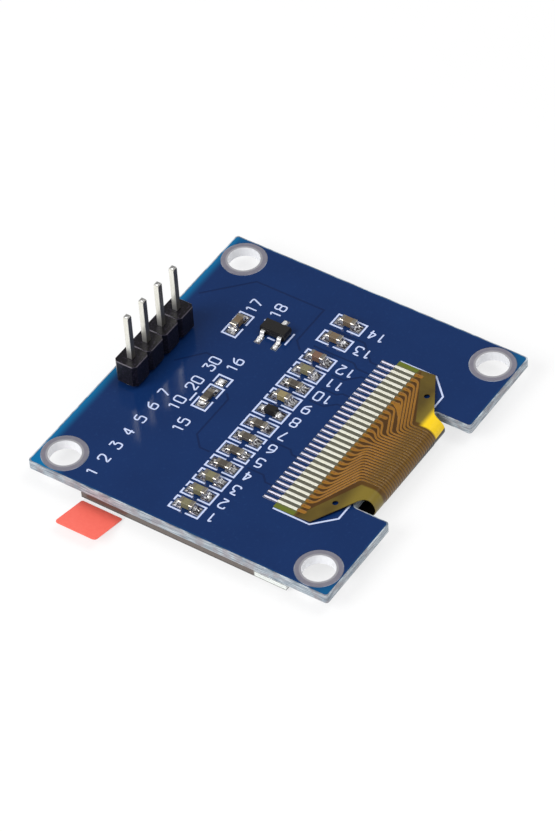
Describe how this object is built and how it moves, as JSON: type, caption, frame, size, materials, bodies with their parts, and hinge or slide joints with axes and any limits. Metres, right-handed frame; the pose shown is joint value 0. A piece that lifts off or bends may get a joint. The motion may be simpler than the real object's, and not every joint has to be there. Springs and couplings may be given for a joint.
{
  "type": "graphic display module",
  "caption": "Small graphic display module: blue board with chip parts, pin header and a folded flexible circuit to the glass panel beneath.",
  "frame": {"origin": "centre of the four mounting holes, which is the board's centre, on the laminate's component face", "axes": "+X along the pin header, +Y from the board's middle towards the header, +Z out of the component face; the display looks along -Z"},
  "size_m": [0.0396, 0.0336, 0.0111],
  "materials": {
    "laminate": "pale glass-fibre laminate, cut edge",
    "solder_mask": "glossy deep blue solder mask",
    "ink": "white printed ink",
    "tin": "tinned copper",
    "solder": "bright solder",
    "black_moulding": "black moulded plastic",
    "pin": "tinned square pin",
    "ceramic_tan": "fired ceramic, satin",
    "ceramic_dark": "dark glazed ceramic",
    "epoxy_black": "black moulding compound",
    "film_amber": "amber polyimide film",
    "copper_track": "copper under a clear cover layer",
    "glass_panel": "cut edge of dark display glass",
    "panel_dark": "dark display layers",
    "silicon": "bare silicon",
    "tape_white": "foam tape",
    "clear_film": "clear protective film",
    "tab_coral": "coral printed tab"
  },
  "bodies": {
    "root": {"circuit_board": "laminate", "solder_mask_rear": "solder_mask", "solder_mask_front": "solder_mask", "printed_outlines": "ink", "mounting_hole_plating": "tin", "header_hole_plating": "tin", "component_lands": "tin", "flex_lands": "tin", "header_housing": "black_moulding", "header_pin_1": "pin", "header_pin_2": "pin", "header_pin_3": "pin", "header_pin_4": "pin", "header_solder": "solder", "component_solder": "solder", "capacitor_1_body": "ceramic_tan", "capacitor_2_body": "ceramic_tan", "capacitor_3_body": "ceramic_tan", "capacitor_4_body": "ceramic_tan", "capacitor_5_body": "ceramic_tan", "capacitor_6_body": "ceramic_tan", "capacitor_7_body": "ceramic_tan", "capacitor_8_body": "ceramic_tan", "capacitor_9_body": "ceramic_tan", "capacitor_1_end_caps": "tin", "capacitor_2_end_caps": "tin", "capacitor_3_end_caps": "tin", "capacitor_4_end_caps": "tin", "capacitor_5_end_caps": "tin", "capacitor_6_end_caps": "tin", "capacitor_7_end_caps": "tin", "capacitor_8_end_caps": "tin", "capacitor_9_end_caps": "tin", "resistor_1_body": "ceramic_dark", "resistor_2_body": "ceramic_dark", "resistor_3_body": "ceramic_dark", "resistor_4_body": "ceramic_dark", "resistor_5_body": "ceramic_dark", "resistor_6_body": "ceramic_dark", "resistor_1_end_caps": "tin", "resistor_2_end_caps": "tin", "resistor_3_end_caps": "tin", "resistor_4_end_caps": "tin", "resistor_5_end_caps": "tin", "resistor_6_end_caps": "tin", "diode_body": "epoxy_black", "diode_leads": "tin", "regulator_body": "epoxy_black", "regulator_leads": "tin", "flex_film": "film_amber", "flex_tracks": "copper_track", "flex_contacts": "solder", "cover_glass": "glass_panel", "base_glass": "glass_panel", "emitter_layers": "panel_dark", "polariser": "panel_dark", "driver_chip": "silicon", "mounting_tape": "tape_white", "protective_film": "clear_film", "pull_tab": "tab_coral"}
  },
  "joints": []
}
